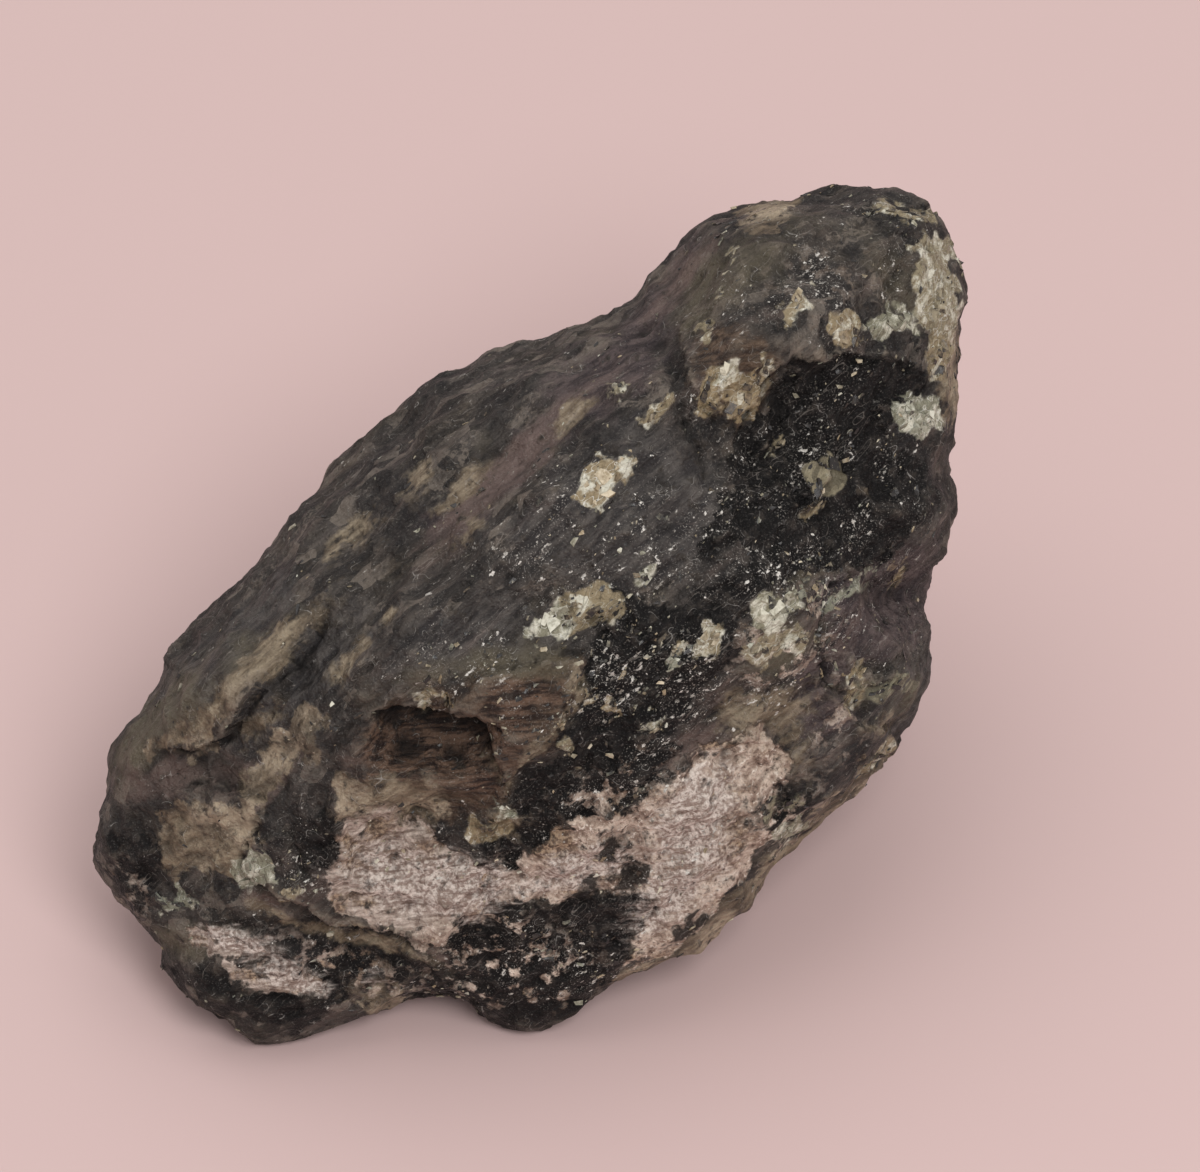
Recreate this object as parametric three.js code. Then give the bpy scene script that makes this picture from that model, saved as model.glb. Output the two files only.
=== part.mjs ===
// Rough labradorite chunk, a hand-sized piece of unpolished feldspar rock broken on every side.
// Millimetres, +Z up. The stone rests on a flat break, with its origin in the middle below its box.
//
// It is an arrowhead-shaped wedge. Its broad show face leans back, and the shape is laid out on
// that face: u runs across it to the right, v runs up its slope, w points straight out of it.
// u and v are given as shares of half the face's width and half its length, and w as a share of
// the stone's thickness.
import * as THREE from 'three';
import { mergeVertices } from 'three/addons/utils/BufferGeometryUtils.js';
import { ImprovedNoise } from 'three/addons/math/ImprovedNoise.js';

// Driving dimensions.
const FACE_WIDTH = 74.5; // across the show face
const FACE_LENGTH = 73; // up the slope of the show face
const THICKNESS = 45; // from the show face straight through to the back
const FACE_RISE = THREE.MathUtils.degToRad(50); // how steeply the show face's normal points up
const LONG_AXIS_TURN = THREE.MathUtils.degToRad(40); // of the stone's long axis across the face
const SURFACE_DETAIL = 16; // subdivision of the sphere that the surface grows from

const HALF_WIDTH = FACE_WIDTH / 2;
const HALF_LENGTH = FACE_LENGTH / 2;
const FLOOR_DROP = 0.655 * THICKNESS; // from the middle of the layout down to the resting break
const RIM_DEPTH = -0.13 * THICKNESS; // where the stone is widest
const RIM_ROUNDING = 0.55 * THICKNESS; // radius of the rim from front to back
const EDGE_ROUNDING = 0.035 * THICKNESS; // how blunt the ridges between breaks are
const WAVINESS = 0.014 * THICKNESS; // height of the gentle waves on the breaks
const WAVE_LENGTH = 0.2 * THICKNESS;
const HEART_DEPTH = -0.1 * THICKNESS; // the point inside the stone that its surface is found from

// The show face's outline, clockwise from the top of the head.
const OUTLINE = [
  [0.65, 1.0], [0.87, 0.98], [0.93, 0.95], [0.97, 0.85], [1.0, 0.76], [0.99, 0.45],
  [0.99, 0.3], [0.97, 0.23], [0.93, 0.15], [0.915, 0.06], [0.93, -0.06], [0.94, -0.13],
  [0.92, -0.19], [0.85, -0.27], [0.68, -0.46], [0.59, -0.53], [0.51, -0.63], [0.46, -0.69],
  [0.36, -0.775], [0.23, -0.83], [0.1, -0.92], [0.03, -0.95], [-0.04, -0.95], [-0.11, -0.93],
  [-0.17, -0.89], [-0.25, -0.89], [-0.33, -0.91], [-0.49, -0.97], [-0.58, -1.0], [-0.67, -0.975],
  [-0.75, -0.92], [-0.82, -0.85], [-0.84, -0.77], [-0.94, -0.645], [-1.0, -0.54], [-0.975, -0.39],
  [-0.95, -0.3], [-0.82, -0.135], [-0.66, 0.05], [-0.545, 0.225], [-0.34, 0.415], [-0.225, 0.515],
  [-0.065, 0.605], [0.07, 0.65], [0.25, 0.715], [0.36, 0.825], [0.475, 0.955], [0.575, 0.99],
];

// Breaks that bound the front. Each passes through a point of the layout and drops away from the
// face: slope gives how many millimetres it drops for each millimetre towards (u, v).
const FRONT_BREAKS = [
  { through: [0.14, 0.2, 0.34], towards: [0.5, 0.5], slope: 0.04 }, // main face
  { through: [0.62, 0.25, 0.28], towards: [1, 0.05], slope: 0.85 }, // right side
  { through: [0.3, -0.22, 0.31], towards: [0.65, -0.76], slope: 0.75 }, // lower right
  { through: [-0.1, -0.4, 0.27], towards: [0.1, -1], slope: 0.85 }, // front wall
  { through: [-0.55, -0.3, 0.23], towards: [-0.85, -0.5], slope: 0.7 }, // lower left
];
// These bound the stone below and to the left of the head.
const BODY_BREAKS = [
  { through: [0.0, 0.22, 0.325], towards: [-0.64, 0.77], slope: 0.95 }, // upper left flank
  { through: [0.4, 0.5, 0.29], towards: [0.85, 0.5], slope: 0.45 }, // black face under the cap
];
// These bound the head, a block that stands proud of the flank and the black face.
const HEAD_BREAKS = [
  { through: [0.62, 0.64, 0.29], towards: [0.12, 1], slope: 0.85 }, // cap
  { through: [0.31, 0.68, 0.24], towards: [-0.95, 0.25], slope: 1.5 }, // left wall
  { through: [0.62, 0.62, 0.29], towards: [0.2, -1], slope: 1.6 }, // step below the cap
];

// Breaks that bound the hidden side, as outward directions in X, Y, Z and distances from the
// middle of the layout.
const BACK_BREAKS = [
  { facing: [0.1, 0.98, -0.12], reach: 0.8 * THICKNESS },
  { facing: [0.72, 0.68, -0.1], reach: 0.99 * THICKNESS },
  { facing: [-0.72, 0.68, 0.1], reach: 0.56 * THICKNESS },
  { facing: [-0.3, 0.6, -0.72], reach: 0.68 * THICKNESS },
  { facing: [0.72, 0.1, -0.69], reach: 0.69 * THICKNESS },
  { facing: [0.5, -0.55, -0.67], reach: 0.71 * THICKNESS },
  { facing: [-0.8, 0.05, -0.6], reach: 0.92 * THICKNESS },
  { facing: [0.25, 0.72, -0.65], reach: 0.74 * THICKNESS },
  { facing: [-0.2, 0.8, 0.56], reach: 0.69 * THICKNESS },
];

// Hollows broken out of the surface: a middle in the layout, and radii along u, v and w in mm.
const HOLLOWS = [
  { middle: [0.7, 0.44, 0.36], radii: [9, 6, 6.5], turn: 10 }, // black face under the cap
  { middle: [-0.19, -0.28, 0.37], radii: [6, 4.5, 5], turn: -10 }, // dark hollow in the middle
  { middle: [-0.25, -0.58, 0.24], radii: [8, 6, 4.5], turn: 20 }, // scoop above the front wall
  { middle: [-0.23, -1.01, -0.16], radii: [6.5, 4, 9], turn: 0 }, // arch between the two feet
  { middle: [0.98, 0.02, 0.1], radii: [7, 3.5, 9], turn: -20 }, // notch above the shoulder
];

const noise = new ImprovedNoise();
const across = new THREE.Vector3(1, 0, 0);
const upFace = new THREE.Vector3(0, Math.sin(FACE_RISE), Math.cos(FACE_RISE));
const outOfFace = new THREE.Vector3(0, -Math.cos(FACE_RISE), Math.sin(FACE_RISE));

function layoutPoint([u, v, w]) {
  return new THREE.Vector3(u * HALF_WIDTH, v * HALF_LENGTH, w * THICKNESS);
}

const outline = OUTLINE.map(([u, v]) => new THREE.Vector2(u * HALF_WIDTH, v * HALF_LENGTH));

// Distance from the outline, negative inside it.
function outlineDistance(u, v) {
  const point = new THREE.Vector2(u, v);
  const edge = new THREE.Vector2();
  const offset = new THREE.Vector2();
  let nearest = Infinity;
  let inside = false;
  outline.forEach((start, index) => {
    const end = outline[(index + 1) % outline.length];
    edge.subVectors(end, start);
    offset.subVectors(point, start);
    const share = THREE.MathUtils.clamp(offset.dot(edge) / edge.lengthSq(), 0, 1);
    nearest = Math.min(nearest, offset.addScaledVector(edge, -share).length());
    const crosses = start.y > v !== end.y > v;
    if (crosses && u < start.x + ((v - start.y) / edge.y) * edge.x) {
      inside = !inside;
    }
  });
  return inside ? -nearest : nearest;
}

// The larger of two values, with the corner between them rounded off.
function blendedMax(a, b, rounding) {
  const overlap = Math.max(rounding - Math.abs(a - b), 0) / rounding;
  return Math.max(a, b) + (overlap * overlap * rounding) / 4;
}

function frontBreakDistance(surfaceBreak, place) {
  const through = layoutPoint(surfaceBreak.through);
  const towards = new THREE.Vector2(...surfaceBreak.towards).normalize();
  const along = (place.x - through.x) * towards.x + (place.y - through.y) * towards.y;
  const above = place.z - through.z + surfaceBreak.slope * along;
  return above / Math.hypot(1, surfaceBreak.slope);
}

// A distance after a list of breaks has cut the stone further.
function cutByBreaks(distance, breaks, place) {
  const cut = (nearest, surfaceBreak) =>
    blendedMax(nearest, frontBreakDistance(surfaceBreak, place), EDGE_ROUNDING);
  return breaks.reduce(cut, distance);
}

function hollowDistance(hollow, place) {
  const turn = THREE.MathUtils.degToRad(hollow.turn);
  const offset = place.clone().sub(layoutPoint(hollow.middle));
  offset.applyAxisAngle(new THREE.Vector3(0, 0, 1), -turn);
  const radii = new THREE.Vector3(...hollow.radii);
  return (offset.divide(radii).length() - 1) * Math.min(...hollow.radii);
}

// Signed distance to the stone's surface, near enough for finding it: negative inside.
function stoneDistance(point) {
  const place = new THREE.Vector3(point.dot(across), point.dot(upFace), point.dot(outOfFace));
  const rimCurve = (place.z - RIM_DEPTH) ** 2 / (2 * RIM_ROUNDING);
  let distance = outlineDistance(place.x, place.y) + rimCurve;
  distance = cutByBreaks(distance, FRONT_BREAKS, place);
  const body = cutByBreaks(distance, BODY_BREAKS, place);
  const head = cutByBreaks(distance, HEAD_BREAKS, place);
  distance = Math.min(body, head);
  for (const { facing, reach } of BACK_BREAKS) {
    const plane = point.dot(new THREE.Vector3(...facing).normalize()) - reach;
    distance = blendedMax(distance, plane, EDGE_ROUNDING);
  }
  for (const hollow of HOLLOWS) {
    distance = blendedMax(distance, -hollowDistance(hollow, place), EDGE_ROUNDING);
  }
  const wave = point.clone().divideScalar(WAVE_LENGTH);
  distance += WAVINESS * noise.noise(wave.x, wave.y, wave.z);
  return Math.max(distance, -FLOOR_DROP - point.z);
}

// Walks outwards from the heart of the stone until it finds the surface.
function surfacePoint(heart, direction) {
  let inside = 0;
  let outside = 2;
  const point = new THREE.Vector3();
  for (let step = 0; step < 34; step += 1) {
    const middle = (inside + outside) / 2;
    point.copy(heart).addScaledVector(direction, middle);
    if (stoneDistance(point) < 0) {
      inside = middle;
    } else {
      outside = middle;
    }
  }
  return point;
}

function buildStone() {
  const sphere = new THREE.IcosahedronGeometry(1, SURFACE_DETAIL);
  sphere.deleteAttribute('normal');
  sphere.deleteAttribute('uv');
  const geometry = mergeVertices(sphere);
  const heart = outOfFace.clone().multiplyScalar(HEART_DEPTH);
  const longAxis = across.clone().applyAxisAngle(outOfFace, LONG_AXIS_TURN);
  const shortAxis = upFace.clone().applyAxisAngle(outOfFace, LONG_AXIS_TURN);
  const egg = new THREE.Matrix4().makeBasis(
    longAxis.multiplyScalar(1.3 * HALF_WIDTH),
    shortAxis.multiplyScalar(0.75 * HALF_WIDTH),
    outOfFace.clone().multiplyScalar(0.5 * THICKNESS),
  );
  const positions = geometry.attributes.position;
  for (let index = 0; index < positions.count; index += 1) {
    const direction = new THREE.Vector3().fromBufferAttribute(positions, index).applyMatrix4(egg);
    const point = surfacePoint(heart, direction);
    positions.setXYZ(index, point.x, point.y, point.z + FLOOR_DROP);
  }
  geometry.computeBoundingBox();
  const { min, max } = geometry.boundingBox;
  geometry.translate(-(min.x + max.x) / 2, -(min.y + max.y) / 2, 0);
  geometry.computeVertexNormals();
  return geometry;
}

const stoneMaterial = new THREE.MeshStandardMaterial({
  color: 0x4a4441,
  roughness: 0.6,
  metalness: 0,
});
const stone = new THREE.Mesh(buildStone(), stoneMaterial);
stone.name = 'labradorite_chunk';

const group = new THREE.Group();
group.add(stone);

export default group;
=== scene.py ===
import math

import bpy
import bmesh
import numpy as np
from mathutils import Matrix, Vector
from mathutils.bvhtree import BVHTree


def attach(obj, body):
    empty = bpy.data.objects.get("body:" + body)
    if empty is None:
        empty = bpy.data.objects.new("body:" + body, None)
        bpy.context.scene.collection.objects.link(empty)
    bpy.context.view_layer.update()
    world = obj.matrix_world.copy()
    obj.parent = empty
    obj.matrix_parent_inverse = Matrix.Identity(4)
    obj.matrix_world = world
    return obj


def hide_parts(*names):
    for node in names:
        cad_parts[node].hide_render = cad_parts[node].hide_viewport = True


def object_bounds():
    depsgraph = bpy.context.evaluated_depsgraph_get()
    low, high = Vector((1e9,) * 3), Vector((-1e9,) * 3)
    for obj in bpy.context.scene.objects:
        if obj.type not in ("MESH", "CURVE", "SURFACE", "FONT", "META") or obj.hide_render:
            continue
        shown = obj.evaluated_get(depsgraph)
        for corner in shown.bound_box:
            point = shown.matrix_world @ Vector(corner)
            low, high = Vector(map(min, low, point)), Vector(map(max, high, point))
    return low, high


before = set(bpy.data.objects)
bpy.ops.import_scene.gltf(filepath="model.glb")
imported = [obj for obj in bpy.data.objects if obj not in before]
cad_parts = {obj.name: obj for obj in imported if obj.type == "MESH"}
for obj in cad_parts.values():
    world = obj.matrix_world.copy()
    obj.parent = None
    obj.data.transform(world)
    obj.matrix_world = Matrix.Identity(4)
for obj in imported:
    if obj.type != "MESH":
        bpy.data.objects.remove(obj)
cad_low, cad_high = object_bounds()

STONE = "labradorite_chunk"
BODY = "root"

FACE_RISE = math.radians(50)  # how steeply the show face's normal points up
HALF_WIDTH = (cad_high.x - cad_low.x) / 2
UNIT = HALF_WIDTH / 100
MIDDLE = (cad_low + cad_high) / 2
ACROSS = Vector((1, 0, 0))
UP_FACE = Vector((0, math.sin(FACE_RISE), math.cos(FACE_RISE)))
OUT_OF_FACE = Vector((0, -math.cos(FACE_RISE), math.sin(FACE_RISE)))
FACE_BASIS = np.array((ACROSS, UP_FACE, OUT_OF_FACE))

RIM_DEPTH = -3  # w where the stone is widest
GRAIN_TURN = 40  # degrees that the stone's streaks rise to the right across the face
SHAPES_FADE = (-14, -4)  # w between which the named shapes die out towards the hidden sides
COLOURS_FADE = (-18, -6)  # and the same for the named minerals
TRIANGLES = 196_000  # of the finished stone
FARTHEST = 12  # depths inside and distances outside a patch are not told apart beyond this


# ---- numbers over the surface


def face_direction(turn):
    """The direction on the face that rises to the right by this many degrees."""
    angle = math.radians(turn)
    return ACROSS * math.cos(angle) + UP_FACE * math.sin(angle)


def face_places(points):
    """The (u, v, w) of points given in metres."""
    return (points - np.array(MIDDLE)) @ FACE_BASIS.T / UNIT


def smooth_step(low, high, value):
    share = np.clip((value - low) / (high - low), 0, 1)
    return share * share * (3 - 2 * share)


def hashed(cells, seed):
    """A repeatable random number from 0 to 1 for each whole-number cell."""
    mixed = cells.astype(np.int64) @ np.array((73856093, 19349663, 83492791)) + seed * 40503
    for shift, factor in ((13, 1274126177), (16, 2246822519), (15, 3266489917)):
        mixed = ((mixed ^ (mixed >> shift)) * factor) & 0xFFFFFFFF
    return mixed / 2**32


def hashed_vectors(cells, seed):
    """Three repeatable random numbers from 0 to 1 for each cell."""
    return np.stack([hashed(cells, seed + axis) for axis in range(3)], 1)


def value_noise(points, seed):
    """Smooth noise from -1 to 1 with bumps about one across."""
    cell = np.floor(points)
    offset = points - cell
    blend = offset**3 * (offset * (offset * 6 - 15) + 10)
    total = np.zeros(len(points))
    for corner in np.ndindex(2, 2, 2):
        weight = np.prod(np.where(corner, blend, 1 - blend), axis=1)
        total += weight * hashed(cell + corner, seed)
    return total * 2 - 1


def fractal(points, size, octaves, seed):
    """Layered noise, each layer half the size and half the height of the one before."""
    layers = range(octaves)
    total = sum(value_noise(points / size * 2**k, seed + k) / 2**k for k in layers)
    return total / sum(1 / 2**k for k in layers)


def chipped(points, size, slope, seed):
    """Height of shallow scoops about size across, each tilted its own way, with sharp ridges
    where they meet, as on a broken stone."""
    scaled = points / size
    cell = np.floor(scaled)
    height = np.full(len(points), np.inf)
    for step in np.ndindex(3, 3, 3):
        neighbour = cell + np.array(step) - 1
        offset = scaled - (neighbour + hashed_vectors(neighbour, seed))
        tilt = hashed_vectors(neighbour, seed + 3) - 0.5
        height = np.minimum(height, (offset * (offset + tilt)).sum(1))
    return (height - height.mean()) * slope * size


def turned(flat, turn):
    """How far each place lies along a direction of the face, and beside it."""
    angle = math.radians(turn)
    along = flat[:, 0] * math.cos(angle) + flat[:, 1] * math.sin(angle)
    beside = flat[:, 1] * math.cos(angle) - flat[:, 0] * math.sin(angle)
    return along, beside


def stretched(places, turn, length):
    """Places squeezed along a direction of the face, so that noise on them runs in streaks."""
    along, beside = turned(places, turn)
    return np.stack((along / length, beside, places[:, 2]), 1)


def stretch_distance(flat, start, end):
    """Distance from a straight stretch, and the share of it that is nearest."""
    edge = end - start
    offset = flat - start
    share = np.clip(offset @ edge / (edge @ edge), 0, 1)
    return np.linalg.norm(offset - share[:, None] * edge, axis=1), share


def line_distance(flat, route):
    """Distance from a route's nearest stretch, which side of it, 1 being its left, and how much
    of the route comes before it."""
    nearest = np.full(len(flat), np.inf)
    side = np.zeros(len(flat))
    share_along = np.zeros(len(flat))
    route = np.array(route, float)
    for index, (start, end) in enumerate(zip(route[:-1], route[1:])):
        distance, share = stretch_distance(flat, start, end)
        closer = distance < nearest
        edge, offset = end - start, flat[closer] - start
        nearest[closer] = distance[closer]
        side[closer] = np.sign(edge[0] * offset[:, 1] - edge[1] * offset[:, 0])
        share_along[closer] = (index + share[closer]) / (len(route) - 1)
    return nearest, side, share_along


def patch_depth(flat, outline):
    """How deep inside a closed outline each point lies; below 0 outside it."""
    outline = np.array(outline, float)
    depth = np.full(len(flat), -float(FARTHEST))
    low = outline.min(0) - FARTHEST
    high = outline.max(0) + FARTHEST
    near = np.nonzero(((flat > low) & (flat < high)).all(1))[0]
    close = flat[near]
    inside = np.zeros(len(near), bool)
    distance = np.full(len(near), float(FARTHEST))
    for start, end in zip(outline, np.roll(outline, -1, axis=0)):
        distance = np.minimum(distance, stretch_distance(close, start, end)[0])
        crosses = (start[1] > close[:, 1]) != (end[1] > close[:, 1])
        run, rise = end - start
        left_of_edge = close[:, 0] < start[0] + (close[:, 1] - start[1]) * run / (rise or 1)
        inside ^= crosses & left_of_edge
    depth[near] = np.where(inside, distance, -distance)
    return depth


# ---- where things are on the face

# Mineral patches of the show face, as outlines.
PATCHES = {
    "cream": [
        # left scoop
        [(-42, -57), (-36, -49), (-23, -51), (-16, -60), (-8, -64), (-9, -73), (-14, -83),
         (-25, -79), (-41, -74), (-47, -66)],
        # granular band on the right
        [(36, -40), (44, -34), (52, -31), (57, -36), (59, -46), (54, -58), (45, -69), (39, -78),
         (28, -85), (22, -86), (25, -78), (27, -70), (16, -68), (7, -73), (-2, -70), (-8, -66),
         (-6, -60), (3, -57), (11, -51), (25, -48), (31, -41)],
        # foot on the left
        [(-69, -85), (-52, -86), (-45, -89), (-47, -93), (-54, -92), (-66, -89)],
        [(-77, -78), (-66, -79), (-59, -82), (-66, -85), (-76, -82)],
        # spot in the black tip
        [(-12, -77), (-7, -75), (-3, -78), (-5, -82), (-10, -82)],
    ],
    "tan": [
        # bevel of the flank's ledge
        [(-44, -5), (-45, -7), (-53, -16), (-59, -23), (-65, -30), (-69, -35), (-76, -38),
         (-86, -37), (-77, -33), (-69, -27), (-67, -20), (-59, -14), (-52, -8)],
        # streaks beside the ridge
        [(-47, -27), (-44, -30), (-52, -41), (-61, -52), (-65, -59), (-67, -52), (-61, -41),
         (-54, -32)],
        # block at the lower left
        [(-84, -50), (-75, -48), (-64, -50), (-62, -57), (-66, -65), (-75, -66), (-83, -64)],
        # fan above the left scoop
        [(-42, -43), (-30, -43), (-18, -48), (-20, -54), (-36, -54), (-42, -52)],
        # rim of the lower right
        [(19, -89), (26, -85), (37, -77), (47, -67), (58, -57), (70, -47), (83, -34), (88, -38),
         (72, -57), (56, -70), (38, -86), (24, -95), (16, -95)],
        # arch between the feet
        [(-40, -95), (-32, -93), (-31, -86), (-28, -92), (-16, -93), (-12, -96), (-30, -98)],
        # right edge of the head
        [(92, 54), (98, 60), (99, 40), (95, 34), (94, 46)],
        # brown top left rim of the head
        [(48, 84), (56, 88), (63, 88), (60, 84), (52, 80)],
    ],
    "black": [
        # face under the cap
        [(50, 38), (56, 46), (63, 52), (78, 52), (88, 49), (91, 44), (84, 42), (80, 32),
         (91, 28), (92, 16), (84, 8), (72, 3), (60, 3), (48, 8), (38, 5), (44, 20), (46, 30)],
        # band across the middle
        [(20, -2), (30, -4), (43, -1), (52, 6), (58, 2), (50, -6), (48, -14), (39, -23),
         (36, -32), (31, -41), (25, -48), (12, -51), (3, -58), (-7, -63), (-12, -61), (-8, -55),
         (-3, -48), (1, -43), (7, -36), (11, -26), (15, -16), (17, -8)],
        # down between the creams
        [(-12, -62), (-6, -63), (-8, -72), (-12, -82), (-16, -84), (-12, -74)],
        # tip
        [(-15, -72), (-6, -72), (7, -72), (16, -68), (27, -70), (25, -79), (21, -87), (16, -94),
         (7, -99), (-3, -101), (-11, -98), (-20, -95), (-29, -87), (-41, -80), (-34, -79),
         (-20, -84), (-13, -84)],
        # underside behind the left foot
        [(-52, -79), (-43, -76), (-29, -81), (-16, -87), (-20, -96), (-29, -96), (-26, -90),
         (-34, -87), (-41, -95), (-52, -101), (-75, -93), (-82, -90), (-75, -86), (-66, -91),
         (-54, -93), (-45, -90), (-46, -84)],
        # left end
        [(-99, -56), (-84, -54), (-82, -68), (-86, -73), (-94, -68)],
        # shadowed streak above the left scoop
        [(-50, -52), (-43, -50), (-41, -58), (-44, -64), (-50, -60)],
        # dark patch in the granular band
        [(56, -45), (64, -47), (61, -57), (54, -56)],
    ],
    "brown": [
        # translucent tongue and its root
        [(-17, -25), (-11, -31), (-7, -39), (-4, -47), (0, -40), (7, -35), (10, -28), (16, -16),
         (7, -17), (-7, -20)],
        # around the hollow
        [(-33, -27), (-20, -24), (-9, -27), (-4, -33), (-4, -50), (-18, -50), (-34, -42)],
        # below the cap
        [(38, 56), (40, 40), (47, 36), (55, 42), (55, 52), (47, 58)],
    ],
    "purple": [
        # right side
        [(66, 9), (84, 7), (92, 9), (91, -2), (86, -14), (76, -14), (72, -34), (64, -38),
         (62, -26), (60, -12)],
        # underside below the granular band
        [(44, -78), (52, -67), (57, -66), (55, -74), (46, -82)],
        # flank beside the head
        [(4, 44), (20, 56), (34, 74), (40, 84), (32, 56), (28, 44), (16, 36)],
        # root of the flank
        [(-18, 10), (-4, 22), (8, 32), (14, 42), (6, 40), (-8, 26), (-22, 14)],
    ],
    "grey": [
        # smooth part of the main face
        [(8, 26), (26, 38), (42, 26), (46, 14), (36, 2), (20, 0), (4, 4), (-4, 12)],
        [(-34, -22), (-20, -4), (0, -4), (14, -16), (0, -21), (-18, -22)],
        # smooth face beside the ledge
        [(-45, -8), (-34, -2), (-36, -14), (-45, -23), (-54, -30), (-61, -37), (-66, -37),
         (-63, -29), (-53, -17)],
        # left flank
        [(-94, -34), (-70, -10), (-54, 4), (-50, -4), (-62, -18), (-70, -30), (-80, -36)],
        # shoulder
        [(78, -20), (94, -14), (95, -24), (88, -34), (78, -34)],
    ],
}

# Crystals that stand out: middle, half length, half width, turn in degrees, brightness from
# 0 to 1 and greenness from 0, tan, to 1, pale green.
CRYSTALS = [
    # on the main face
    (17, 22, 7, 4, 50, 0.95, 0.1),
    (21, 26, 3, 1.6, 60, 0.8, 0.1),
    (6, -8, 6.5, 3.6, 35, 0.95, 0.8),
    (14, -5, 8, 4.8, 20, 0.35, 0.2),
    (27, 2.5, 2.6, 1.4, 20, 0.8, 0.9),
    (21, 44, 2.2, 1.8, 60, 0.45, 0.5),
    (29, 39, 4, 0.9, 52, 0.5, 0.2),
    (56, 31, 3, 0.8, 40, 0.4, 0.3),
    # on the head
    (60.5, 63, 4.6, 2.2, 55, 0.7, 0.2),
    (72, 57, 4.4, 3.6, 95, 0.45, 0.1),
    (82, 58.5, 5.4, 3, 20, 0.75, 0.8),
    (92.5, 68, 12, 5, 98, 0.6, 0.4),
    (93, 52, 6, 2.6, 80, 0.4, 0.2),
    (85, 84, 7, 1.2, -8, 0.5, 0.3),
    (41, 58, 2.4, 1.8, 80, 0.35, 0.3),
    (46, 74, 1.8, 1.0, 70, 0.6, 0.5),
    (44, 66, 1.4, 0.9, 70, 0.5, 0.5),
    # cap flakes
    (45.3, 46.5, 3.6, 2.0, 95, 1.0, 0.5),
    (41.5, 43, 5.5, 2.6, 80, 0.3, 0.0),
    (48.5, 42, 6, 3.4, 75, 0.4, 0.0),
    (53.5, 48, 4, 1.6, 75, 0.5, 0.2),
    # black face
    (89, 38, 5.4, 4.2, 110, 0.95, 0.9),
    (84.5, 39.5, 2.6, 1.6, 140, 0.7, 0.9),
    (66.5, 24, 5, 4, 85, 0.0, 0.5),
    (64.5, 17.5, 4.4, 0.9, 15, 0.5, 0.1),
    # green cluster
    (55, -6, 5, 4.2, 70, 0.8, 0.7),
    (59, -3, 4, 2.4, 30, 0.6, 0.8),
    (54, -14, 5, 3, 20, 0.6, 0.3),
    (61, -12, 4, 2.4, 60, 0.5, 0.4),
    (41.5, -11, 4, 1.8, 60, 0.85, 0.3),
    (39, -13, 2, 1.2, 120, 0.6, 0.4),
    (34, -13.6, 2.2, 1.3, 20, 0.7, 0.2),
    (33, -17, 2.2, 1.3, 10, 0.75, 0.9),
    # around the hollow and the tongue
    (-22.5, -25, 2.8, 1.8, 70, 0.7, 0.3),
    (-17, -25.5, 2.6, 1.2, 110, 0.45, 0.0),
    (20, -27, 1.4, 0.9, 80, 0.55, 0.1),
    (14, -24, 1.6, 0.8, 120, 0.5, 0.1),
    (-7.5, -54, 4.4, 2.2, 20, 0.4, 0.1),
    (-5, -49.5, 2.4, 1.4, -30, 0.95, 0.9),
    (10, -37.5, 2.2, 1.3, -40, 0.75, 0.4),
    (8, -31, 1.8, 1.0, 10, 0.7, 0.1),
    (29, -32, 2, 0.9, 10, 0.6, 0.5),
    # lower left
    (-61, -63.5, 5.5, 4, 25, 0.7, 0.9),
    (-53, -69, 2.4, 1.6, 40, 0.55, 0.3),
    (-79, -71, 5, 1.8, 10, 0.4, 1.0),
    # right side
    (80, -23, 8, 1.6, 10, 0.0, 0.7),
    (73.5, -22, 5, 1.4, 70, 0.6, 0.1),
    (60, -55, 4.4, 1.4, 40, 0.75, 0.7),
    (54, -50, 3, 1.4, 60, 0.1, 0.6),
    (59, -49, 3, 1.4, 30, 0.1, 0.6),
    (70, -2, 6, 1.6, 30, 0.45, 1.0),
    (77, 3.5, 3, 1.2, 25, 0.5, 0.9),
    (84, 3, 4, 1.0, 65, 0.35, 0.0),
    (79.5, -39, 6, 1.3, 38, 0.45, 0.2),
]

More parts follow.
